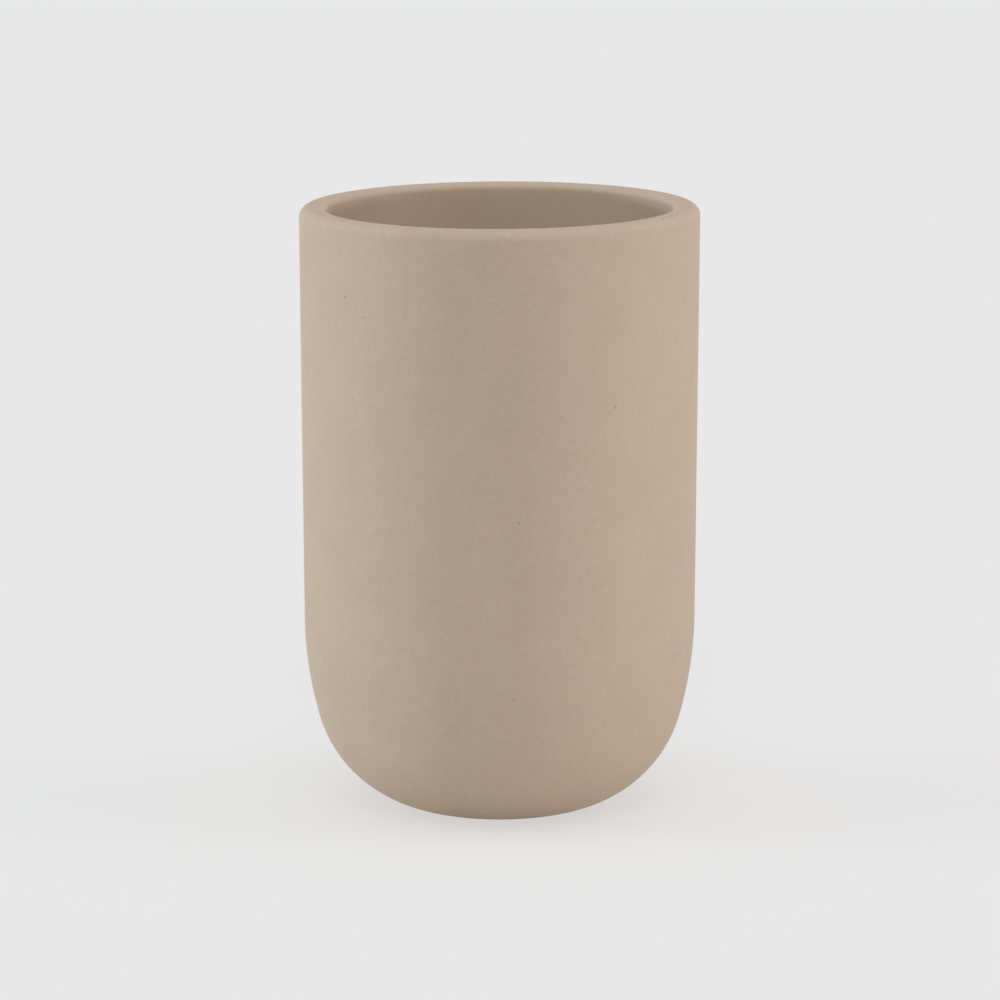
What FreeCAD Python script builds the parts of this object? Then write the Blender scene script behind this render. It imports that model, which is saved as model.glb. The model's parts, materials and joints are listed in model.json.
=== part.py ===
import FreeCAD, Part

import math
import os

from FreeCAD import Vector
from Sketcher import Constraint

# A bathroom tumbler: a stoneware vessel with a thick wall, a soft rim and a rounded base that draws in to
# a small foot. A non-slip pad sits in a shallow recess of the foot, held there by an adhesive film.
# The origin is on the table under the middle of the tumbler, with +Z up.

# Driving dimensions in millimetres, angles in degrees. A share is a part of the size that it follows.
SIZES = {
    # Outside of the vessel
    "rim_diameter": 80.0,
    "vessel_height": 121.6,
    "wall_draft_angle": 0.49,
    "base_curve_height": 38.4,
    "shoulder_share": 0.085,
    "foot_diameter": 34.0,
    "foot_edge_angle": 12.5,
    # Wall, rim and inside of the vessel
    "wall_thickness": 5.6,
    "rim_outer_share": 0.36,
    "rim_inner_share": 0.30,
    "floor_fill": 1.4,
    "floor_blend_share": 0.4,
    # Recess under the foot
    "foot_ring_width": 3.0,
    "foot_chamfer": 0.3,
    # Non-slip pad, with a gap all round it, reaching below the foot by its stand-off
    "pad_thickness": 1.5,
    "pad_clearance": 0.25,
    "pad_stand_off": 0.5,
    "pad_edge_radius": 0.4,
    # Adhesive film between the pad and the vessel
    "film_thickness": 0.15,
    "film_setback": 0.6,
}

# Sizes that several sub-parts take from the sheet
PAD_SEAT_RADIUS = "(sizes.foot_diameter / 2 - sizes.foot_ring_width)"
PAD_RADIUS = f"({PAD_SEAT_RADIUS} - sizes.pad_clearance)"
FILM_RADIUS = f"({PAD_RADIUS} - sizes.film_setback)"
WALL_ROOT_RADIUS = (
    "(sizes.rim_diameter / 2"
    " - (sizes.vessel_height - sizes.base_curve_height) * tan(sizes.wall_draft_angle * 1deg))"
)
BASE_RADIUS = (
    f"((1 - sizes.shoulder_share) * ({WALL_ROOT_RADIUS} - sizes.foot_diameter / 2)"
    " / (1 - sin(sizes.foot_edge_angle * 1deg)))"
)
INNER_BASE_RADIUS = f"({BASE_RADIUS} - sizes.wall_thickness)"

# Points of a sketch element, and the sketch's own origin and upright axis
START, END, CENTRE = 1, 2, 3
ORIGIN, UPRIGHT = -1, -2


def fill_sheet(doc):
    """Writes the driving dimensions into the sheet and returns it."""
    sheet = doc.addObject("Spreadsheet::Sheet", "sizes")
    for row, (alias, value) in enumerate(SIZES.items(), start=1):
        sheet.set(f"A{row}", alias)
        sheet.set(f"B{row}", str(value))
        sheet.setAlias(f"B{row}", alias)
    doc.recompute()
    return sheet


def add_body(doc, node):
    body = doc.addObject("PartDesign::Body", node)
    body.Label = node
    return body


def add_sketch(body, name, plane_role):
    """Adds a sketch on one of the body's own origin planes."""
    plane = next(item for item in body.Origin.OriginFeatures if item.Role == plane_role)
    sketch = body.newObject("Sketcher::SketchObject", name)
    sketch.AttachmentSupport = [(plane, "")]
    sketch.MapMode = "FlatFace"
    return sketch


def bind(sketch, name, constraint, expression):
    """Adds a named dimension to a sketch and binds it to the sheet."""
    index = sketch.addConstraint(constraint)
    sketch.renameConstraint(index, name)
    sketch.setExpression(f"Constraints.{name}", expression)


def add_disc_sketch(body, name, radius):
    """Adds a round sketch about the Z axis, whose radius follows an expression."""
    sketch = add_sketch(body, name, "XY_Plane")
    unit_circle = Part.Circle()
    outline = sketch.addGeometry(unit_circle)
    sketch.addConstraint(Constraint("Coincident", outline, CENTRE, ORIGIN, START))
    bind(sketch, "radius", Constraint("Radius", outline, unit_circle.Radius), radius)
    return sketch


def ring_edge(feature, radius, height):
    """Names the round edge of a feature that comes nearest to that radius and height."""
    def misfit(number):
        ring = feature.Shape.Edges[number].Curve
        if not isinstance(ring, Part.Circle):
            return math.inf
        return math.hypot(ring.Radius - radius, ring.Center.z - height)

    nearest = min(range(len(feature.Shape.Edges)), key=misfit)
    return f"Edge{nearest + 1}"


def ease_edge(body, kind, name, base, ring, setting, expression):
    """Rounds or chamfers one round edge of the body's newest feature."""
    feature = body.newObject(f"PartDesign::{kind}", name)
    feature.Base = (base, [ring_edge(base, *ring)])
    feature.setExpression(setting, expression)
    body.Document.recompute()
    return feature


class Section:
    """Points and arc centres of half of the vessel's upright section, with the axis at X = 0."""

    def __init__(self, sheet):
        draft = math.radians(sheet.wall_draft_angle)
        edge = math.radians(sheet.foot_edge_angle)
        wall = sheet.wall_thickness
        outward = Vector(math.cos(draft), -math.sin(draft))

        self.foot = Vector(sheet.foot_diameter / 2, sheet.pad_stand_off)
        self.foot_middle = Vector(0, self.foot.y)
        self.rim = Vector(sheet.rim_diameter / 2, self.foot.y + sheet.vessel_height)
        self.inner_rim = self.rim - Vector(wall / math.cos(draft), 0)

        # The straight wall runs down from the rim to its root, where the base starts to curve
        root_drop = sheet.vessel_height - sheet.base_curve_height
        self.root = self.rim - Vector(root_drop * math.tan(draft), root_drop)
        self.inner_root = self.root - outward * wall

        # The base arc rises from the edge of the foot, and the flatter shoulder arc joins it to the wall:
        # with no share for the shoulder, the base arc alone would reach the wall
        largest_base_radius = (self.root.x - self.foot.x) / (1 - math.sin(edge))
        self.base_radius = (1 - sheet.shoulder_share) * largest_base_radius
        self.base_centre = self.foot + Vector(-math.sin(edge), math.cos(edge)) * self.base_radius
        reach = self.root - self.base_centre
        room = reach.dot(outward) - self.base_radius
        self.shoulder_radius = (reach.dot(reach) - self.base_radius**2) / (2 * room)
        self.shoulder_centre = self.root - outward * self.shoulder_radius
        towards_joint = (self.base_centre - self.shoulder_centre).normalize()
        self.joint = self.base_centre + towards_joint * self.base_radius

        # The inside keeps the wall's thickness, down to a flat floor that fills the lowest part of its curve
        inner_radius = self.base_radius - wall
        self.inner_joint = self.base_centre + towards_joint * inner_radius
        floor_drop = inner_radius - sheet.floor_fill
        floor_reach = math.sqrt(inner_radius**2 - floor_drop**2)
        self.floor = self.base_centre + Vector(floor_reach, -floor_drop)
        self.floor_middle = Vector(0, self.floor.y)


def line(start, end):
    return Part.LineSegment(start, end)


def arc(centre, start, end):
    """Arc from one point to another, anticlockwise about the centre."""
    circle = Part.Circle(centre, Vector(0, 0, 1), centre.distanceToPoint(start))
    angles = [math.atan2(point.y - centre.y, point.x - centre.x) for point in (start, end)]
    return Part.ArcOfCircle(circle, *angles)


def draw_section(sketch, at):
    """Draws the vessel's section and ties every size in it to the sheet."""
    foot = sketch.addGeometry(line(at.foot_middle, at.foot))
    base = sketch.addGeometry(arc(at.base_centre, at.foot, at.joint))
    shoulder = sketch.addGeometry(arc(at.shoulder_centre, at.joint, at.root))
    wall = sketch.addGeometry(line(at.root, at.rim))
    rim = sketch.addGeometry(line(at.rim, at.inner_rim))
    inner_wall = sketch.addGeometry(line(at.inner_rim, at.inner_root))
    inner_shoulder = sketch.addGeometry(arc(at.shoulder_centre, at.inner_joint, at.inner_root))
    inner_base = sketch.addGeometry(arc(at.base_centre, at.floor, at.inner_joint))
    floor = sketch.addGeometry(line(at.floor, at.floor_middle))
    axis = sketch.addGeometry(line(at.floor_middle, at.foot_middle))

    # The outline is closed, with smooth joints from the foot's edge to the rim and from the rim to the floor
    sketch.addConstraint([
        Constraint("Coincident", foot, END, base, START),
        Constraint("Tangent", base, END, shoulder, START),
        Constraint("Tangent", shoulder, END, wall, START),
        Constraint("Coincident", wall, END, rim, START),
        Constraint("Coincident", rim, END, inner_wall, START),
        Constraint("Tangent", inner_wall, END, inner_shoulder, END),
        Constraint("Tangent", inner_shoulder, START, inner_base, END),
        Constraint("Coincident", inner_base, START, floor, START),
        Constraint("Coincident", floor, END, axis, START),
        Constraint("Coincident", axis, END, foot, START),
    ])

    # The inside runs parallel to the outside
    sketch.addConstraint([
        Constraint("Parallel", wall, inner_wall),
        Constraint("Coincident", shoulder, CENTRE, inner_shoulder, CENTRE),
        Constraint("Coincident", base, CENTRE, inner_base, CENTRE),
    ])

    # Foot, rim and floor are level, and the section ends on the axis
    sketch.addConstraint([
        Constraint("Horizontal", foot),
        Constraint("Horizontal", rim),
        Constraint("Horizontal", floor),
        Constraint("PointOnObject", axis, START, UPRIGHT),
        Constraint("PointOnObject", axis, END, UPRIGHT),
    ])

    from_origin = ORIGIN, START
    foot_edge = foot, END
    wall_top = wall, END
    wall_root = wall, START
    bind(sketch, "foot_level", Constraint("DistanceY", *from_origin, *foot_edge, at.foot.y),
         "sizes.pad_stand_off")
    bind(sketch, "foot_radius", Constraint("DistanceX", *from_origin, *foot_edge, at.foot.x),
         "sizes.foot_diameter / 2")
    bind(sketch, "rim_radius", Constraint("DistanceX", *from_origin, *wall_top, at.rim.x),
         "sizes.rim_diameter / 2")
    bind(sketch, "vessel_height", Constraint("DistanceY", *foot_edge, *wall_top, at.rim.y - at.foot.y),
         "sizes.vessel_height")
    bind(sketch, "curve_height", Constraint("DistanceY", *foot_edge, *wall_root, at.root.y - at.foot.y),
         "sizes.base_curve_height")
    wall_run = at.rim - at.root
    bind(sketch, "wall_slope", Constraint("Angle", wall, math.atan2(wall_run.y, wall_run.x)),
         "90 - sizes.wall_draft_angle")
    bind(sketch, "base_radius", Constraint("Radius", base, at.base_radius), BASE_RADIUS)
    base_offset = at.foot.x - at.base_centre.x
    bind(sketch, "base_offset", Constraint("DistanceX", base, CENTRE, *foot_edge, base_offset),
         f"{BASE_RADIUS} * sin(sizes.foot_edge_angle * 1deg)")
    wall_gap = at.root.distanceToPoint(at.inner_root)
    bind(sketch, "wall_thickness", Constraint("Distance", inner_wall, START, wall, wall_gap),
         "sizes.wall_thickness")
    floor_drop = at.base_centre.y - at.floor.y
    bind(sketch, "floor_drop", Constraint("DistanceY", floor, START, base, CENTRE, floor_drop),
         f"{INNER_BASE_RADIUS} - sizes.floor_fill")


def make_vessel(doc, sheet):
    """Wall, rim, rounded base and foot ring, cast in one piece."""
    body = add_body(doc, "vessel")
    at = Section(sheet)
    sketch = add_sketch(body, "vessel_section", "XZ_Plane")
    draw_section(sketch, at)
    turned = body.newObject("PartDesign::Revolution", "turned_wall")
    turned.Profile = sketch
    turned.ReferenceAxis = (sketch, ["V_Axis"])
    doc.recompute()
    if not sketch.FullyConstrained:
        raise ValueError("the vessel's section isn't fully constrained")

    # Recess for the pad, cut up from the table
    recess = body.newObject("PartDesign::Pocket", "pad_recess")
    recess_outline = add_disc_sketch(body, "recess_outline", PAD_SEAT_RADIUS)
    recess.Profile = recess_outline
    recess.Reversed = True
    recess.setExpression("Length", "sizes.pad_thickness + sizes.film_thickness")
    doc.recompute()
    if not recess.Shape.Volume < turned.Shape.Volume:
        raise ValueError("the recess cuts nothing")

    recess_edge = recess_outline.getDatum("radius").Value, at.foot.y
    rim_edge = at.rim.x, at.rim.y
    inner_rim_edge = at.inner_rim.x, at.inner_rim.y
    floor_edge = at.floor.x, at.floor.y
    newest = ease_edge(body, "Chamfer", "foot_bevel", recess, recess_edge, "Size", "sizes.foot_chamfer")
    newest = ease_edge(body, "Fillet", "rim_outer_round", newest, rim_edge, "Radius",
                       "sizes.wall_thickness * sizes.rim_outer_share")
    newest = ease_edge(body, "Fillet", "rim_inner_round", newest, inner_rim_edge, "Radius",
                       "sizes.wall_thickness * sizes.rim_inner_share")
    ease_edge(body, "Fillet", "floor_blend", newest, floor_edge, "Radius",
              f"{INNER_BASE_RADIUS} * sizes.floor_blend_share")
    return body


def add_disc(body, radius, thickness):
    """Builds a flat disc up from the body's own base plane."""
    disc = body.newObject("PartDesign::Pad", f"{body.Label}_disc")
    disc.Profile = add_disc_sketch(body, f"{body.Label}_outline", radius)
    disc.setExpression("Length", thickness)
    body.Document.recompute()
    return disc


def make_pad(doc):
    """Soft disc that the tumbler stands on, with a rounded lower edge."""
    body = add_body(doc, "non_slip_pad")
    disc = add_disc(body, PAD_RADIUS, "sizes.pad_thickness")
    lower_edge = disc.Profile[0].getDatum("radius").Value, 0
    ease_edge(body, "Fillet", "pad_round", disc, lower_edge, "Radius", "sizes.pad_edge_radius")
    return body


def make_adhesive(doc):
    """Thin film between the top of the pad and the roof of the recess."""
    body = add_body(doc, "pad_adhesive")
    add_disc(body, FILM_RADIUS, "sizes.film_thickness")
    body.setExpression("Placement.Base.z", "sizes.pad_thickness")
    return body


def check(doc, bodies):
    """Stops the build if anything in the document failed or a sub-part isn't one valid solid."""
    for item in doc.Objects:
        if "Invalid" in item.State or "Error" in item.State:
            raise ValueError(f"{item.Label} failed: {item.State}")
    for body in bodies:
        shape = body.Shape
        if shape.isNull() or not shape.isValid() or len(shape.Solids) != 1:
            raise ValueError(f"{body.Label} isn't one valid solid")


def main():
    doc = FreeCAD.newDocument("bathroom_tumbler")
    sheet = fill_sheet(doc)
    bodies = [make_vessel(doc, sheet), make_pad(doc), make_adhesive(doc)]
    doc.recompute()
    check(doc, bodies)

    os.makedirs("parts", exist_ok=True)
    for body in bodies:
        body.Shape.exportStep(f"parts/{body.Label}.step")
        box = body.Shape.optimalBoundingBox()
        print(f"{body.Label}: Z {box.ZMin:.2f} to {box.ZMax:.2f}, width {box.XLength:.2f}")


main()
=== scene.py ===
# %% [markdown]
# # A matt stoneware bathroom tumbler
# The real object is one thick cast cup: a rim with a flat crest and soft edges, a nearly straight wall, and
# a round bottom that draws in to a small foot. A rubber disc is stuck under the foot, so that the cup
# neither slides nor scratches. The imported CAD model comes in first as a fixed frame, and every piece below
# is made in the same place and in metres, so that nothing has to be fitted by eye.

# %% Load the frame
import json
import math

import bmesh
import bpy
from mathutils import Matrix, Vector, noise
from mathutils.bvhtree import BVHTree

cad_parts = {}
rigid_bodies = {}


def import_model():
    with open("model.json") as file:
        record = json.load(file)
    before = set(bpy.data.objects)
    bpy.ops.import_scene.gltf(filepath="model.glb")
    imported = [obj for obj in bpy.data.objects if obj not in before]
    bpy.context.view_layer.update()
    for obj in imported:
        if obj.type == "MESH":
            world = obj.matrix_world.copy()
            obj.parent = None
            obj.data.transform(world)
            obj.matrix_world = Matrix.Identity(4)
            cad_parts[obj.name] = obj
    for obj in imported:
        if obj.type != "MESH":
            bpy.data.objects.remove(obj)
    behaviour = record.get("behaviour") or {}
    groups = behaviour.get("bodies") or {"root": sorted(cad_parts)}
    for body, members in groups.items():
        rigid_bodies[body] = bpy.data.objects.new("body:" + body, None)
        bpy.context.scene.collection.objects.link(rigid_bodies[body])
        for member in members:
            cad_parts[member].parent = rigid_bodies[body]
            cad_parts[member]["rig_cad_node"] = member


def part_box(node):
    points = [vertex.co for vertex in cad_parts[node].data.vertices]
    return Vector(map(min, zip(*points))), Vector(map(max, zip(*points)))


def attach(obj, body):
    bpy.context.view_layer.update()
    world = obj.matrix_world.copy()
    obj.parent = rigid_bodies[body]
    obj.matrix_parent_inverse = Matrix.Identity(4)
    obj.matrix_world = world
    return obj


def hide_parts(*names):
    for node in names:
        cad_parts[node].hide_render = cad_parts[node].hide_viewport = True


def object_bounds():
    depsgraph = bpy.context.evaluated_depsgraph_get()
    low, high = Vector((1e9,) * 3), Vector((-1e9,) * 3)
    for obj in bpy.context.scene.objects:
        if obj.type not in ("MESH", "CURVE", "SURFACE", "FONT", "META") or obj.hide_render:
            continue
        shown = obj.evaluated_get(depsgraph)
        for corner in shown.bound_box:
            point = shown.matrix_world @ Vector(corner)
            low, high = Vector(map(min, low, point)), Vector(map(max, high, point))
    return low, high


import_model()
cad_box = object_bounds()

MM = 0.001
cup_low, cup_high = (Vector(corner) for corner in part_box("vessel"))
disc_low, disc_high = (Vector(corner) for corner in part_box("non_slip_pad"))
film_low, film_high = (Vector(corner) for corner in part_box("pad_adhesive"))
for low, high in ((cup_low, cup_high), (disc_low, disc_high), (film_low, film_high)):
    print("box of", [round(side / MM, 2) for side in high - low], "mm")

# %% [markdown]
# ## The section: wall and base
# A cup that was cast in a round mould is the same on every side, so half of its upright section says all
# about its shape. The section could be traced as a curve by hand. Here it is worked out from a few sizes
# instead: a wall that leans out by half a degree, a flat shoulder arc under it, and a tighter base arc that
# draws in to the foot. The shoulder's radius is the one at which both arcs have the same direction where
# they meet, so no crease is left there for the light to catch.

# %% Wall and base
RIM_RADIUS = 40.0 * MM
WALL_LEAN = math.radians(0.49)
BASE_CURVE_HEIGHT = 38.4 * MM
SHOULDER_SHARE = 0.085
FOOT_RADIUS = 17.0 * MM
FOOT_EDGE_ANGLE = math.radians(12.5)
foot_level = cup_low.z
crest_level = cup_high.z


def wall_radius(height):
    """Radius of the straight wall's outside at a height."""
    return RIM_RADIUS - (crest_level - height) * math.tan(WALL_LEAN)


def heading(angle):
    """Direction in the section, at an angle above straight outwards."""
    return Vector((math.cos(angle), math.sin(angle)))


outward = heading(-WALL_LEAN)
root_level = foot_level + BASE_CURVE_HEIGHT
wall_root = Vector((wall_radius(root_level), root_level))

base_round = (1 - SHOULDER_SHARE) * (wall_root.x - FOOT_RADIUS) / (1 - math.sin(FOOT_EDGE_ANGLE))
foot_edge = Vector((FOOT_RADIUS, foot_level))
base_centre = foot_edge + base_round * Vector((-math.sin(FOOT_EDGE_ANGLE), math.cos(FOOT_EDGE_ANGLE)))
reach = wall_root - base_centre
shoulder_round = (reach.length_squared - base_round**2) / (2 * (reach.dot(outward) - base_round))
shoulder_centre = wall_root - outward * shoulder_round
joint = base_centre - shoulder_centre
joint_angle = math.atan2(joint.y, joint.x)
print("base arc", round(base_round / MM, 1), "mm, shoulder arc", round(shoulder_round / MM, 1), "mm")

# %% [markdown]
# ## The section: inside
# Liquid clay that is poured into a plaster mould stiffens into a wall of even thickness, so the inside
# follows the outside. Offsetting a drawn curve could do that. With arcs it is enough to take the thickness
# off their radii. Some more clay stays behind at the bottom, so the floor is a little higher, and a wide
# round blends it into the wall.

# %% Inside
WALL_THICKNESS = 5.6 * MM
FLOOR_FILL = 1.4 * MM
FLOOR_BLEND_SHARE = 0.4

inner_root = wall_root - outward * WALL_THICKNESS
inner_round = base_round - WALL_THICKNESS
floor_level = base_centre.y - inner_round + FLOOR_FILL
floor_blend = inner_round * FLOOR_BLEND_SHARE
blend_drop = base_centre.y - floor_level - floor_blend
blend_reach = math.sqrt((inner_round - floor_blend) ** 2 - blend_drop**2)
blend_centre = base_centre + Vector((blend_reach, -blend_drop))
blend_angle = math.atan2(-blend_drop, blend_reach)
print("floor", round((floor_level - foot_level) / MM, 2), "mm above the foot")

# %% [markdown]
# ## The section: rim
# The rim was trimmed and sponged while the clay was damp. That left a soft oval edge outside, a flat crest
# that slopes inwards by two degrees, a tight round lip inside, and a long shallow throat below the lip. A
# Bevel modifier could round a square rim, but with the same radius on both sides. Here each part has its
# own size, and its centre is found from the part that it has to meet.

# %% Rim
RIM_EDGE_WIDTH = 1.95 * MM
RIM_EDGE_HEIGHT = 2.1 * MM
CREST_SLOPE = math.radians(2)
LIP_ROUND = 1.4 * MM
LIP_TURN = math.radians(172)
THROAT_ROUND = 12.0 * MM
QUARTER_TURN = math.radians(90)

edge_level = crest_level - RIM_EDGE_HEIGHT
edge_centre = Vector((wall_radius(edge_level) - RIM_EDGE_WIDTH, edge_level))
crest_drop = (WALL_THICKNESS - RIM_EDGE_WIDTH - LIP_ROUND) * math.tan(CREST_SLOPE)
throat_drop = THROAT_ROUND * math.sin(LIP_TURN) - THROAT_ROUND * math.sin(WALL_LEAN)
throat_level = crest_level - crest_drop - throat_drop - LIP_ROUND * (1 - math.sin(LIP_TURN))
throat_foot = Vector((wall_radius(throat_level) - WALL_THICKNESS / math.cos(WALL_LEAN), throat_level))
throat_centre = throat_foot + outward * THROAT_ROUND
lip_centre = throat_centre + heading(LIP_TURN) * (THROAT_ROUND - LIP_ROUND)
lip_start = QUARTER_TURN + CREST_SLOPE
crest_end = lip_centre + LIP_ROUND * heading(lip_start)
print("crest", round((edge_centre.x - crest_end.x) / MM, 2), "mm wide between its edges")

# %% [markdown]
# ## Drawing the outline
# The outline runs from the middle of the recess under the foot, round the outside, over the rim and down
# to the middle of the floor inside. Two small helpers add straight stretches and arcs in even steps. Short
# steps go where the surface bends sharply, such as over the rim, so that its light fades smoothly. Each
# point also keeps the name of its zone.

# %% Outline helpers
def run_to(outline, radius, height, zone, step):
    """Adds a straight stretch to an outline."""
    start = outline[-1][0]
    end = Vector((radius, height))
    count = max(1, round((end - start).length / step))
    for part in range(1, count + 1):
        outline.append((start.lerp(end, part / count), zone))


def sweep(outline, centre, radius, first, last, zone, step, height=None):
    """Adds an arc to an outline, from one angle to another. A height of its own makes it an oval arc."""
    height = height or radius
    count = max(1, round(abs(last - first) * max(radius, height) / step))
    for part in range(1, count + 1):
        angle = first + (last - first) * part / count
        spot = centre + Vector((radius * math.cos(angle), height * math.sin(angle)))
        outline.append((spot, zone))


# %% Draw the foot and the wall
RECESS_RADIUS = 14.0 * MM
FOOT_BEVEL = 0.3 * MM
FLAT_STEP = 1.4 * MM
RECESS_STEP = 0.4 * MM
FOOT_STEP = 0.5 * MM
BASE_STEP = 0.9 * MM
WALL_STEP = 1.0 * MM
recess_roof = film_high.z
base_start = FOOT_EDGE_ANGLE - QUARTER_TURN

cup_outline = [(Vector((0.0, recess_roof)), "recess")]
run_to(cup_outline, RECESS_RADIUS, recess_roof, "recess", FLAT_STEP)
run_to(cup_outline, RECESS_RADIUS, foot_level + FOOT_BEVEL, "recess", RECESS_STEP)
run_to(cup_outline, RECESS_RADIUS + FOOT_BEVEL, foot_level, "foot", RECESS_STEP)
run_to(cup_outline, FOOT_RADIUS, foot_level, "foot", FOOT_STEP)
sweep(cup_outline, base_centre, base_round, base_start, joint_angle, "outside", BASE_STEP)
sweep(cup_outline, shoulder_centre, shoulder_round, joint_angle, -WALL_LEAN, "outside", WALL_STEP)
run_to(cup_outline, wall_radius(edge_level), edge_level, "outside", WALL_STEP)
print("outside of", len(cup_outline), "points")

# %% Draw the rim and the inside
EDGE_STEP = 0.25 * MM
CREST_STEP = 0.5 * MM
LIP_STEP = 0.15 * MM
THROAT_STEP = 0.4 * MM
INSIDE_STEP = 1.1 * MM
throat_end = 2 * QUARTER_TURN - WALL_LEAN
inner_shoulder = shoulder_round - WALL_THICKNESS

sweep(cup_outline, edge_centre, RIM_EDGE_WIDTH, 0.0, lip_start, "outside", EDGE_STEP, RIM_EDGE_HEIGHT)
run_to(cup_outline, crest_end.x, crest_end.y, "outside", CREST_STEP)
sweep(cup_outline, lip_centre, LIP_ROUND, lip_start, LIP_TURN, "inside", LIP_STEP)
sweep(cup_outline, throat_centre, THROAT_ROUND, LIP_TURN, throat_end, "inside", THROAT_STEP)
run_to(cup_outline, inner_root.x, inner_root.y, "inside", INSIDE_STEP)
sweep(cup_outline, shoulder_centre, inner_shoulder, -WALL_LEAN, joint_angle, "inside", INSIDE_STEP)
sweep(cup_outline, base_centre, inner_round, joint_angle, blend_angle, "inside", BASE_STEP)
sweep(cup_outline, blend_centre, floor_blend, blend_angle, -QUARTER_TURN, "inside", BASE_STEP)
run_to(cup_outline, 0.0, floor_level, "inside", FLAT_STEP)
print("whole outline of", len(cup_outline), "points")

# %% [markdown]
# ## Turning the cup
# Blender's Screw modifier or Spin tool could turn the outline into a cup. Making the rings in code gives
# the same quads, and it also keeps the rings in the order of the outline, so that each ring's zone is known
# in the steps that follow. The mesh starts with three empty layers, which later become masks.

# %% Turn the outline into a cup
ROUND_STEPS = 256
ON_THE_AXIS = 0.001 * MM


def turn(mesh, outline, steps):
    """Turns an outline about the Z axis. The rings come back in the order of the outline."""
    angles = [2 * math.pi * step / steps for step in range(steps)]
    rings = []
    for spot, _ in outline:
        if spot.x < ON_THE_AXIS:
            ring = [mesh.verts.new((0.0, 0.0, spot.y))] * steps
        else:
            places = [(spot.x * math.cos(angle), spot.x * math.sin(angle), spot.y) for angle in angles]
            ring = [mesh.verts.new(place) for place in places]
        rings.append(ring)
    for ring, next_ring in zip(rings, rings[1:]):
        for here in range(steps):
            there = (here + 1) % steps
            corners = [ring[here], ring[there], next_ring[there], next_ring[here]]
            mesh.faces.new(dict.fromkeys(corners))
    return rings


cup_mesh = bmesh.new()
bare_clay = cup_mesh.verts.layers.float.new("bare_clay")
lining_and_painted_light = cup_mesh.verts.layers.float.new("lining_and_painted_light")
pinhole = cup_mesh.verts.layers.float.new("pinhole")
cup_rings = turn(cup_mesh, cup_outline, ROUND_STEPS)
print("cup of", len(cup_mesh.faces), "faces")

# %% [markdown]
# ## The unevenness of a casting
# Plaster moulds, sponging and the kiln leave a cup a few hundredths of a millimetre out of round. That is
# too little to see as shape, but it bends the light on the wall, and a perfectly true wall looks made by a
# machine. A Displace modifier could do it. Here smooth noise moves the points a little inwards, never
# outwards, so that the cup stays inside the size of the frame. The rim was trimmed by hand and sits a third
# of a millimetre lower on the left.

# %% Make the casting uneven
WAVE_SIZE = 34 * MM
WAVE_DEPTH = 0.10 * MM
RIPPLE_SIZE = 7 * MM
RIPPLE_DEPTH = 0.012 * MM
RIM_TILT = 0.35 * MM
CAST_ZONES = ("outside", "inside")

deepest = 0.0
for ring, (_, zone) in zip(cup_rings, cup_outline):
    if zone not in CAST_ZONES:
        continue
    for point in dict.fromkeys(ring):
        wave = (noise.noise(point.co / WAVE_SIZE) - 1) / 2 * WAVE_DEPTH
        ripple = (noise.noise(point.co / RIPPLE_SIZE) - 1) / 2 * RIPPLE_DEPTH
        deepest = min(deepest, wave + ripple)
        sideways = Vector((point.co.x, point.co.y, 0.0))
        if sideways.length:
            point.co += sideways.normalized() * (wave + ripple)
        up_the_wall = max(0.0, (point.co.z - root_level) / (crest_level - root_level))
        point.co.z -= RIM_TILT * up_the_wall * (1 - point.co.x / RIM_RADIUS) / 2
print("points moved in by up to", round(-deepest / MM, 3), "mm")

# %% [markdown]
# ## Masks for the finishes
# The foot is wiped free of glaze before firing, or it would stick to the kiln shelf, and the lining is
# poured in by itself. A mask says where each of them is: a number from nought to one that every point of
# the mesh carries, and that the material reads later. Painted weights could do the same by hand. The
# lining's edge wanders a little, as poured glaze does, and fades out just below the crest.

# %% Mark the bare clay and the lining
RECESS_BARE = 0.8
LINING_DROP = 1.9 * MM
LINING_WANDER = 0.7 * MM
LINING_WANDER_SIZE = 9 * MM
LINING_FADE = 1.6 * MM
bare_by_zone = {"foot": 1.0, "recess": RECESS_BARE}

for ring, (_, zone) in zip(cup_rings, cup_outline):
    for point in dict.fromkeys(ring):
        point[bare_clay] = bare_by_zone.get(zone, 0.0)
        # The lining mask also carries painted light: the material paints the inside paler by it.
        if zone == "inside":
            edge_wander = LINING_WANDER * noise.noise(point.co / LINING_WANDER_SIZE)
            depth = crest_level - LINING_DROP + edge_wander - point.co.z
            point[lining_and_painted_light] = min(1.0, max(0.0, depth / LINING_FADE + 0.5))
lined_points = [point for point in cup_mesh.verts if point[lining_and_painted_light] > 0]
print("lining on", len(lined_points), "of", len(cup_mesh.verts), "points")
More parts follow.
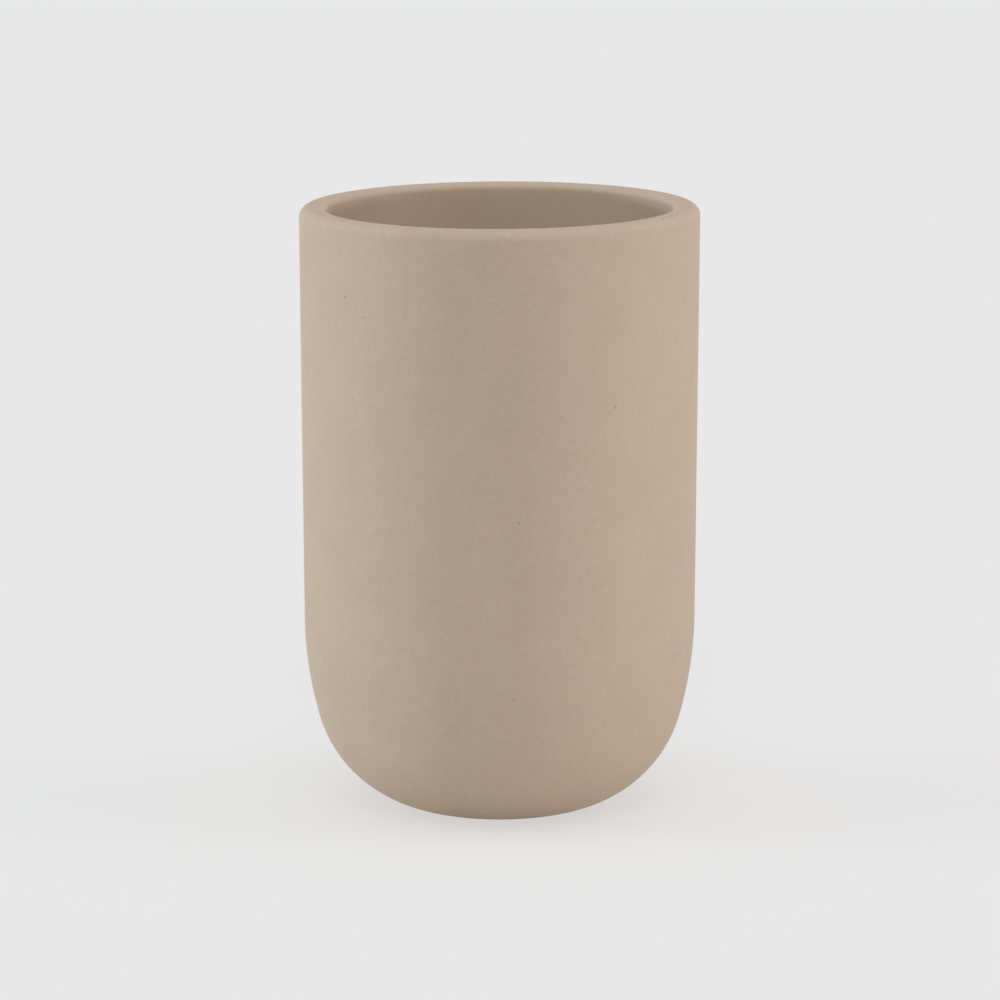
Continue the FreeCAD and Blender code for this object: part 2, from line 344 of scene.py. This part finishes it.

# %% [markdown]
# ## Pinholes and a fine scratch
# Gas that leaves the clay in the kiln bursts through the matt coat and leaves pinholes about half a
# millimetre wide, and the wall also has one fine scratch. A bump map could fake them, but then the mesh
# would be blank there. First each mark is laid on the wall as a short stroke, and the faces under it are
# noted. Then only those faces are divided finely, and their new points are pressed in. Each new point also
# gets a mask that paints the mark dark: partly the clay behind the coat, partly painted shade in the pit.

# %% Lay the marks on the wall
# Each mark: bearing from the front in degrees and height in millimetres of its two ends, then its
# half-width and depth in millimetres, and how dark it is painted: partly the clay behind the coat, partly
# painted shade in the pit.
wall_marks = [
    ((-49.2, 107.2), (-49.1, 107.0), 0.26, 0.10, 0.62),
    ((-41.9, 103.6), (-41.9, 103.6), 0.26, 0.07, 0.42),
    ((5.5, 64.9), (5.5, 64.6), 0.30, 0.07, 0.30),
    ((4.0, 29.3), (4.4, 29.3), 0.27, 0.06, 0.28),
    ((11.0, 35.9), (11.0, 35.9), 0.25, 0.05, 0.20),
    ((34.5, 86.4), (34.6, 86.7), 0.24, 0.06, 0.42),
    ((32.3, 85.2), (35.3, 87.1), 0.24, 0.02, 0.19),
    ((101.0, 58.0), (101.0, 58.2), 0.26, 0.08, 0.45),
    ((128.0, 92.0), (128.0, 92.0), 0.24, 0.06, 0.35),
    ((163.0, 41.5), (163.2, 41.5), 0.25, 0.06, 0.35),
    ((-96.0, 74.0), (-96.0, 74.0), 0.25, 0.06, 0.40),
    ((-148.0, 113.0), (-148.0, 113.0), 0.24, 0.06, 0.35),
]
STROKE_PARTS = 8
cup_mesh.faces.ensure_lookup_table()
skin = BVHTree.FromBMesh(cup_mesh)


def place_on_wall(bearing, height):
    """Point on the outside of the cup, at a bearing from the front and a height."""
    angle = math.radians(bearing)
    away = Vector((math.sin(angle), -math.cos(angle), 0.0))
    start = Vector((0.0, 0.0, height * MM)) + away * 2 * RIM_RADIUS
    return skin.ray_cast(start, -away)[0]


strokes = []
touched = set()
for first, last, half_width, depth, clay_and_shade in wall_marks:
    start = place_on_wall(*first)
    end = place_on_wall(*last)
    strokes.append((start, end, half_width * MM, depth * MM, clay_and_shade))
    for part in range(STROKE_PARTS + 1):
        spot = start.lerp(end, part / STROKE_PARTS)
        touched.update(found[2] for found in skin.find_nearest_range(spot, half_width * MM))
print(len(strokes), "marks touch", len(touched), "faces")

# %% Press the marks in
MARK_CUTS = 7


def from_stroke(point, start, end):
    """How far a point lies from the straight stroke between two points."""
    stroke = end - start
    along = (point - start).dot(stroke) / stroke.length_squared if stroke.length else 0.0
    return (point - start - stroke * min(1.0, max(0.0, along))).length


touched_faces = [cup_mesh.faces[index] for index in sorted(touched)]
edges = list(dict.fromkeys(edge for face in touched_faces for edge in face.edges))
split = bmesh.ops.subdivide_edges(cup_mesh, edges=edges, cuts=MARK_CUTS, use_grid_fill=True)
new_points = [part for part in split["geom"] if isinstance(part, bmesh.types.BMVert)]
many_sided = [face for face in cup_mesh.faces if len(face.verts) > 4]
bmesh.ops.triangulate(cup_mesh, faces=many_sided, quad_method="BEAUTY", ngon_method="BEAUTY")
cup_mesh.normal_update()
pressed = 0
for point in new_points:
    unpressed = point.co.copy()
    for start, end, half_width, depth, clay_and_shade in strokes:
        gap = from_stroke(unpressed, start, end) / half_width
        if gap < 1:
            point.co -= point.normal * depth * (1 - gap**2)
            # The mask paints the mark dark: partly the clay behind the coat, partly painted shade in the
            # pit.
            point[pinhole] = max(point[pinhole], clay_and_shade * (1 - gap**3))
            pressed += 1
print(len(new_points), "new points, pressed in", pressed, "times")

# %% [markdown]
# ## Finishing the cup's mesh
# The real surface is unbroken, while the mesh is made of small flat faces. A finer mesh could hide them,
# but smooth shading does it at no cost. The few true corners round the foot stay crisp, because edges
# sharper than 40 degrees are marked. The new cup then takes the place of the plain CAD solid.

# %% Finish the cup
CRISP_ANGLE = math.radians(40)


def finish_piece(mesh, name, node):
    """Makes an object of a mesh in the making, in the place of a CAD node."""
    data = bpy.data.meshes.new(name)
    mesh.to_mesh(data)
    mesh.free()
    data.shade_smooth()
    data.set_sharp_from_angle(angle=CRISP_ANGLE)
    piece = bpy.data.objects.new(name, data)
    bpy.context.scene.collection.objects.link(piece)
    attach(piece, "root")
    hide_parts(node)
    print(name, "has", len(data.polygons), "faces")
    return piece


cup = finish_piece(cup_mesh, "stoneware_cup", "vessel")

# %% [markdown]
# ## The rubber disc
# The disc is moulded rubber with a round lower edge. Shallow grooves in rings let water out from under it,
# as on a bath mat, so that it grips on a wet shelf. Grooves could be cut with a Boolean modifier. Turning
# the disc from its own outline, as the cup is, gives cleaner faces.

# %% Turn the rubber disc
GROOVE_COUNT = 4
GROOVE_DEPTH = 0.35 * MM
GROOVE_WIDTH = 0.9 * MM
GROOVE_FLOOR_WIDTH = GROOVE_WIDTH / 2
DISC_ROUND = 0.4 * MM
UNDERSIDE_STEP = 0.8 * MM
GROOVE_STEP = 0.2 * MM
CORNER_STEP = 0.1 * MM
SIDE_STEP = 0.4 * MM
BACK_STEP = 2.0 * MM
disc_radius = disc_high.x
round_centre = Vector((disc_radius - DISC_ROUND, disc_low.z + DISC_ROUND))
groove_pitch = (disc_radius - 2 * DISC_ROUND) / (GROOVE_COUNT + 0.5)
groove_floor = disc_low.z + GROOVE_DEPTH

disc_outline = [(Vector((0.0, disc_low.z)), "disc")]
for number in range(1, GROOVE_COUNT + 1):
    middle = number * groove_pitch
    run_to(disc_outline, middle - GROOVE_WIDTH / 2, disc_low.z, "disc", UNDERSIDE_STEP)
    run_to(disc_outline, middle - GROOVE_FLOOR_WIDTH / 2, groove_floor, "disc", GROOVE_STEP)
    run_to(disc_outline, middle + GROOVE_FLOOR_WIDTH / 2, groove_floor, "disc", GROOVE_STEP)
    run_to(disc_outline, middle + GROOVE_WIDTH / 2, disc_low.z, "disc", GROOVE_STEP)
run_to(disc_outline, disc_radius - DISC_ROUND, disc_low.z, "disc", UNDERSIDE_STEP)
sweep(disc_outline, round_centre, DISC_ROUND, -QUARTER_TURN, 0.0, "disc", CORNER_STEP)
run_to(disc_outline, disc_radius, disc_high.z, "disc", SIDE_STEP)
run_to(disc_outline, 0.0, disc_high.z, "disc", BACK_STEP)
disc_mesh = bmesh.new()
turn(disc_mesh, disc_outline, ROUND_STEPS // 2)
disc = finish_piece(disc_mesh, "rubber_disc", "non_slip_pad")

# %% [markdown]
# ## Shared finish: mottling
# Clay, glaze and rubber all vary softly from place to place. Each material could have noise nodes of its
# own, but a node group is built once and placed in each of them with other values. This one stretches a
# noise to a size that is given in millimetres. It puts out a tone about one, to multiply a colour with, and
# a plain height from nought to one, for bump and for blending two colours.

# %% Node helpers
def add_node(tree, kind, values=None, **options):
    """Adds a node with its options and the values of its sockets."""
    node = tree.nodes.new(kind)
    for option, choice in options.items():
        setattr(node, option, choice)
    for socket, value in (values or {}).items():
        node.inputs[socket].default_value = value
    return node


def new_group(name, inputs, outputs):
    """Starts a node group. It gives back the tree with its input and output nodes."""
    group = bpy.data.node_groups.new(name, "ShaderNodeTree")
    for label, value in inputs.items():
        socket = group.interface.new_socket(label, in_out="INPUT", socket_type="NodeSocketFloat")
        socket.default_value = value
    for label in outputs:
        group.interface.new_socket(label, in_out="OUTPUT", socket_type="NodeSocketFloat")
    return group, group.nodes.new("NodeGroupInput"), group.nodes.new("NodeGroupOutput")


# %% Mottling group
SPECKLE_ROUGHNESS = 0.6
MIDDLE_HEIGHT = 0.5

mottling, mottling_in, mottling_out = new_group(
    "mottling", {"Size": 1.0, "Contrast": 0.1, "Detail": 3.0}, ("Tone", "Height")
)
coordinates = add_node(mottling, "ShaderNodeTexCoord")
per_size = add_node(mottling, "ShaderNodeMath", {0: 1 / MM}, operation="DIVIDE")
speckle = add_node(mottling, "ShaderNodeTexNoise", {"Roughness": SPECKLE_ROUGHNESS})
swing = add_node(mottling, "ShaderNodeMath", {1: MIDDLE_HEIGHT}, operation="SUBTRACT")
about_one = add_node(mottling, "ShaderNodeMath", {2: 1.0}, operation="MULTIPLY_ADD")
mottling.links.new(mottling_in.outputs["Size"], per_size.inputs[1])
mottling.links.new(coordinates.outputs["Object"], speckle.inputs["Vector"])
mottling.links.new(per_size.outputs[0], speckle.inputs["Scale"])
mottling.links.new(mottling_in.outputs["Detail"], speckle.inputs["Detail"])
mottling.links.new(speckle.outputs["Fac"], swing.inputs[0])
mottling.links.new(swing.outputs[0], about_one.inputs[0])
mottling.links.new(mottling_in.outputs["Contrast"], about_one.inputs[1])
mottling.links.new(about_one.outputs[0], mottling_out.inputs["Tone"])
mottling.links.new(speckle.outputs["Fac"], mottling_out.inputs["Height"])
print("group", mottling.name, "with", len(mottling.nodes), "nodes")

# %% [markdown]
# ## Matt stoneware
# The coat on the outside is a dry matt glaze in a warm sand colour. Its minerals lean to pink in one speck
# and to green in the next, it is clouded by a few percent, and it has a fine tooth that can just be felt.
# The lining inside is the same glaze, fired smoother so that it wipes clean. Its colour is painted ten
# percent paler, which is painted light for the light that reaches into the cup. Under the foot the clay is
# bare, paler and rough. Separate materials would meet in hard lines. Here one material blends the three by
# the masks, and
# a pinhole is painted dark: partly the clay behind the coat, partly painted shade in the pit.

# %% Material helpers
# A Mix node has a set of sockets for each kind of data: factor, first and second, and the result.
COLOUR_SOCKETS = (0, 6, 7)
COLOUR_RESULT = 2
VALUE_SOCKETS = (0, 2, 3)
VALUE_RESULT = 0


def start_material(name):
    """Starts a material and gives it back with its tree and its shader."""
    material = bpy.data.materials.new(name)
    material.use_nodes = True
    tree = material.node_tree
    return material, tree, tree.nodes["Principled BSDF"]


def place_mottling(tree, size, contrast, detail):
    """Puts the shared mottling into a material with its own values."""
    values = {"Size": size, "Contrast": contrast, "Detail": detail}
    return add_node(tree, "ShaderNodeGroup", values, node_tree=mottling)


def feed(tree, node, sockets, values):
    """Gives sockets their values. Each is a plain value or the output of another node."""
    for socket, value in zip(sockets, values):
        if isinstance(value, bpy.types.NodeSocket):
            tree.links.new(value, node.inputs[socket])
        else:
            node.inputs[socket].default_value = value


def mix_colours(tree, factor, first, second, blend="MIX"):
    """Mixes two colours by a factor."""
    node = add_node(tree, "ShaderNodeMix", data_type="RGBA", blend_type=blend)
    feed(tree, node, COLOUR_SOCKETS, (factor, first, second))
    return node.outputs[COLOUR_RESULT]


def mix_values(tree, factor, first, second):
    """Mixes two values by a factor."""
    node = add_node(tree, "ShaderNodeMix", data_type="FLOAT")
    feed(tree, node, VALUE_SOCKETS, (factor, first, second))
    return node.outputs[VALUE_RESULT]


def add_relief(tree, shader, height, depth):
    """Bumps a surface by a height from nought to one, times a depth."""
    bump = add_node(tree, "ShaderNodeBump", {"Strength": 1.0, "Distance": depth})
    tree.links.new(height, bump.inputs["Height"])
    tree.links.new(bump.outputs["Normal"], shader.inputs["Normal"])


# %% Colour of the stoneware
SAND_PINK = (0.472, 0.325, 0.262, 1.0)
SAND_GREEN = (0.418, 0.368, 0.265, 1.0)
BARE_CLAY = (0.600, 0.510, 0.400, 1.0)
# Colour of a mark: partly the clay behind the coat, partly painted shade in the pit.
PINHOLE_CLAY_AND_SHADE = (0.200, 0.130, 0.085, 1.0)
# Painted light: the lining is painted ten percent paler, for the light that reaches into the cup.
LINING_PAINTED_LIGHT = 1.10

stoneware, clay_tree, clay_shader = start_material("matt_stoneware")
clouds = place_mottling(clay_tree, size=12.0, contrast=0.10, detail=2.0)
minerals = place_mottling(clay_tree, size=1.1, contrast=0.0, detail=2.0)
tooth = place_mottling(clay_tree, size=1.1, contrast=0.12, detail=3.0)
bare_mask = add_node(clay_tree, "ShaderNodeAttribute", attribute_name="bare_clay").outputs["Fac"]
lining_and_painted_light_mask = add_node(clay_tree, "ShaderNodeAttribute", attribute_name="lining_and_painted_light").outputs["Fac"]
pinhole_mask = add_node(clay_tree, "ShaderNodeAttribute", attribute_name="pinhole").outputs["Fac"]
# Painted light: the lining mask raises the inside's colour.
lining_painted_light = mix_values(clay_tree, lining_and_painted_light_mask, 1.0, LINING_PAINTED_LIGHT)
sand = mix_colours(clay_tree, minerals.outputs["Height"], SAND_PINK, SAND_GREEN)
sand = mix_colours(clay_tree, bare_mask, sand, BARE_CLAY)
for tone in (lining_painted_light, clouds.outputs["Tone"], tooth.outputs["Tone"]):
    sand = mix_colours(clay_tree, 1.0, sand, tone, "MULTIPLY")
# Marks are painted dark here: partly clay, partly painted shade in the pit.
sand = mix_colours(clay_tree, pinhole_mask, sand, PINHOLE_CLAY_AND_SHADE)
clay_tree.links.new(sand, clay_shader.inputs["Base Color"])
print(stoneware.name, "colours with", len(clay_tree.nodes), "nodes")

# %% Touch of the stoneware
MATT_ROUGHNESS = 0.62
LINING_ROUGHNESS = 0.48
BARE_ROUGHNESS = 0.90
TOOTH_DEPTH = 0.006 * MM
MATT_SPECULAR = 0.3

dry = mix_values(clay_tree, lining_and_painted_light_mask, MATT_ROUGHNESS, LINING_ROUGHNESS)
dry = mix_values(clay_tree, bare_mask, dry, BARE_ROUGHNESS)
clay_tree.links.new(dry, clay_shader.inputs["Roughness"])
add_relief(clay_tree, clay_shader, tooth.outputs["Height"], TOOTH_DEPTH)
clay_shader.inputs["Specular IOR Level"].default_value = MATT_SPECULAR
cup.data.materials.append(stoneware)
print(cup.name, "is finished in", stoneware.name)

# %% [markdown]
# ## Moulded rubber
# The disc is dark rubber. Its mould was left slightly rough, which gives it a fine grain, and a pale bloom
# comes out of old rubber in patches. An even black would look like painted metal, so both colour and
# roughness vary, by the same mottling as the clay.

# %% Moulded rubber
RUBBER_DARK = (0.035, 0.033, 0.031, 1.0)
RUBBER_BLOOM = (0.075, 0.072, 0.068, 1.0)
RUBBER_SMOOTH = 0.62
RUBBER_ROUGH = 0.86
GRAIN_DEPTH = 0.02 * MM

rubber, rubber_tree, rubber_shader = start_material("moulded_rubber")
bloom = place_mottling(rubber_tree, size=6.0, contrast=0.2, detail=4.0).outputs["Height"]
grain = place_mottling(rubber_tree, size=0.25, contrast=0.1, detail=2.0).outputs["Height"]
rubber_colour = mix_colours(rubber_tree, bloom, RUBBER_DARK, RUBBER_BLOOM)
rubber_tree.links.new(rubber_colour, rubber_shader.inputs["Base Color"])
rubber_touch = mix_values(rubber_tree, grain, RUBBER_SMOOTH, RUBBER_ROUGH)
rubber_tree.links.new(rubber_touch, rubber_shader.inputs["Roughness"])
add_relief(rubber_tree, rubber_shader, grain, GRAIN_DEPTH)
disc.data.materials.append(rubber)
print(disc.name, "is finished in", rubber.name)

# %% [markdown]
# ## Milky adhesive
# The film that holds the disc is a milky adhesive, pressed out in streaks. It is hidden between the disc
# and the foot, and its CAD solid is already the right shape. A new mesh would add nothing, so the solid
# stays as it is and only gets this finish.

# %% Milky adhesive
FILM_MILKY = (0.78, 0.77, 0.72, 1.0)
FILM_CLOUDED = (0.66, 0.65, 0.60, 1.0)
FILM_SMOOTH = 0.35
FILM_DULL = 0.55

adhesive, film_tree, film_shader = start_material("milky_adhesive")
streaks = place_mottling(film_tree, size=2.5, contrast=0.2, detail=3.0).outputs["Height"]
film_colour = mix_colours(film_tree, streaks, FILM_MILKY, FILM_CLOUDED)
film_tree.links.new(film_colour, film_shader.inputs["Base Color"])
film_touch = mix_values(film_tree, streaks, FILM_SMOOTH, FILM_DULL)
film_tree.links.new(film_touch, film_shader.inputs["Roughness"])
film = next(item for item in bpy.data.objects if item.get("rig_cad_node") == "pad_adhesive")
film.data.materials.clear()
film.data.materials.append(adhesive)
print(film.name, "is finished in", adhesive.name)

# %% [markdown]
# ## Floor
# The photograph has one even pale grey round the cup. Lamps alone would leave a floor brighter in one place
# than in another, so most of this floor's grey is a glow of its own, and the rest is left for the cup's
# shadow to show in. The Light Path node tells what asks for the colour. The camera sees the grey of the
# photograph. The cup gets a slightly warmer light back, with less glow in it, which fades towards the foot
# as it does over real paper.

# %% Floor
PAPER_SEEN = (0.250, 0.250, 0.250, 1.0)
GLOW_SEEN = (0.567, 0.566, 0.561, 1.0)
PAPER_GIVEN = (0.600, 0.600, 0.570, 1.0)
GLOW_GIVEN = (0.285, 0.285, 0.270, 1.0)
FLOOR_HALF = 8.0
FLOOR_CORNERS = ((-1, -1), (1, -1), (1, 1), (-1, 1))
floor_height = cad_box[0][2]

floor_mesh = bmesh.new()
floor_places = [(x * FLOOR_HALF, y * FLOOR_HALF, floor_height) for x, y in FLOOR_CORNERS]
floor_mesh.faces.new([floor_mesh.verts.new(place) for place in floor_places])
floor_data = bpy.data.meshes.new("studio_floor")
floor_mesh.to_mesh(floor_data)
floor_mesh.free()
floor = bpy.data.objects.new("studio_floor", floor_data)
bpy.context.scene.collection.objects.link(floor)

paper, paper_tree, paper_shader = start_material("pale_paper")
by_camera = add_node(paper_tree, "ShaderNodeLightPath").outputs["Is Camera Ray"]
paper_colour = mix_colours(paper_tree, by_camera, PAPER_GIVEN, PAPER_SEEN)
paper_tree.links.new(paper_colour, paper_shader.inputs["Base Color"])
paper_glow = mix_colours(paper_tree, by_camera, GLOW_GIVEN, GLOW_SEEN)
paper_tree.links.new(paper_glow, paper_shader.inputs["Emission Color"])
paper_shader.inputs["Emission Strength"].default_value = 1.0
paper_shader.inputs["Roughness"].default_value = 1.0
paper_shader.inputs["Specular IOR Level"].default_value = 0.0
floor.data.materials.append(paper)
print("floor of", 2 * FLOOR_HALF, "m in", paper.name)

# %% [markdown]
# ## Air
# A camera that looks along the floor sees the air above its far edge, which is the world in Blender. A wall
# could stand there, but its corner with the floor would have to be hidden. The air shows the grey of the
# photograph to the camera, and to reflections and through glass too. To surfaces it gives much less light,
# so that the lamps of the next step shape the cup.

# %% Air
AIR_SEEN = (0.807, 0.807, 0.807, 1.0)
AIR_GIVEN = (0.200, 0.200, 0.200, 1.0)

air = bpy.data.worlds.new("studio_air")
bpy.context.scene.world = air
air.use_nodes = True
air_tree = air.node_tree
air_paths = add_node(air_tree, "ShaderNodeLightPath")
in_sight = air_paths.outputs["Is Camera Ray"]
for kind in ("Is Glossy Ray", "Is Transmission Ray"):
    either = add_node(air_tree, "ShaderNodeMath", operation="MAXIMUM")
    air_tree.links.new(in_sight, either.inputs[0])
    air_tree.links.new(air_paths.outputs[kind], either.inputs[1])
    in_sight = either.outputs[0]
air_colour = mix_colours(air_tree, in_sight, AIR_GIVEN, AIR_SEEN)
air_tree.links.new(air_colour, air_tree.nodes["Background"].inputs["Color"])
print("air with", len(air_tree.nodes), "nodes")

# %% [markdown]
# ## Light
# The cup stands between two softboxes, with a third in front and a fourth above. Two low strips at the
# sides, a little behind it, brighten both sides of the wall, and they are too low to shine deep into the
# cup. Area lamps could stand for all of them. Wide sun lamps also light the floor evenly, which near lamps
# can't. The left side is a little cooler. The strips are narrow, so they are kept out of reflections, where
# they would sparkle on the edge of the rim.

# %% Light
def add_soft_light(name, bearing, height, width, strength, colour):
    """Adds a sun lamp at a bearing from the camera and a height. Both and its width are in degrees."""
    lamp = bpy.data.lights.new(name, "SUN")
    lamp.energy = strength
    lamp.color = colour
    lamp.angle = math.radians(width)
    light = bpy.data.objects.new(name, lamp)
    turn_by = math.radians(bearing)
    rise = math.radians(height)
    level = math.cos(rise)
    towards = Vector((math.sin(turn_by) * level, -math.cos(turn_by) * level, math.sin(rise)))
    light.rotation_euler = towards.to_track_quat("Z", "Y").to_euler()
    bpy.context.scene.collection.objects.link(light)
    print(name, "at", bearing, "degrees, strength", strength)
    return light


add_soft_light("left_softbox", -85, 32, 40, 0.79, (0.89, 1.00, 0.975))
add_soft_light("right_softbox", 85, 32, 40, 0.74, (1.13, 1.00, 1.005))
add_soft_light("front_softbox", 0, 32, 40, 1.00, (0.99, 1.00, 1.00))
add_soft_light("top_softbox", 0, 90, 60, 1.00, (1.00, 1.00, 1.11))
left_strip = add_soft_light("left_strip", -106, 1.3, 5, 1.56, (0.91, 1.00, 1.18))
right_strip = add_soft_light("right_strip", 97, 1.3, 5, 1.08, (0.96, 1.00, 1.01))
for strip in (left_strip, right_strip):
    strip.visible_glossy = False

# %% [markdown]
# ## Camera
# The camera looks down by ten degrees from well back, through a long lens, which is what the shape of the
# rim and the lean of the sides in the photograph ask for. It aims at the middle of the cup's height. The
# lens is shifted by a few pixels, because the cup doesn't stand in the exact middle of the frame.

# %% Camera
VIEW_DROP = math.radians(10.199)
VIEW_DISTANCE = 1.2
FRAME_PIXELS = 1000
FOCAL_PIXELS = 5977.3
SENSOR = 36.0
AIM_PIXEL = (499.61, 504.90)

aim = Vector((0.0, 0.0, (foot_level + crest_level) / 2))
lens = bpy.data.cameras.new("photo_camera")
lens.sensor_width = SENSOR
lens.lens = SENSOR * FOCAL_PIXELS / FRAME_PIXELS
lens.shift_x = (FRAME_PIXELS / 2 - AIM_PIXEL[0]) / FRAME_PIXELS
lens.shift_y = (AIM_PIXEL[1] - FRAME_PIXELS / 2) / FRAME_PIXELS
camera = bpy.data.objects.new("photo_camera", lens)
camera.location = aim + VIEW_DISTANCE * Vector((0.0, -math.cos(VIEW_DROP), math.sin(VIEW_DROP)))
camera.rotation_euler = (math.pi / 2 - VIEW_DROP, 0.0, 0.0)
bpy.context.scene.collection.objects.link(camera)
bpy.context.scene.camera = camera
bpy.context.scene.view_settings.view_transform = "Standard"
print("lens", round(lens.lens, 1), "mm")
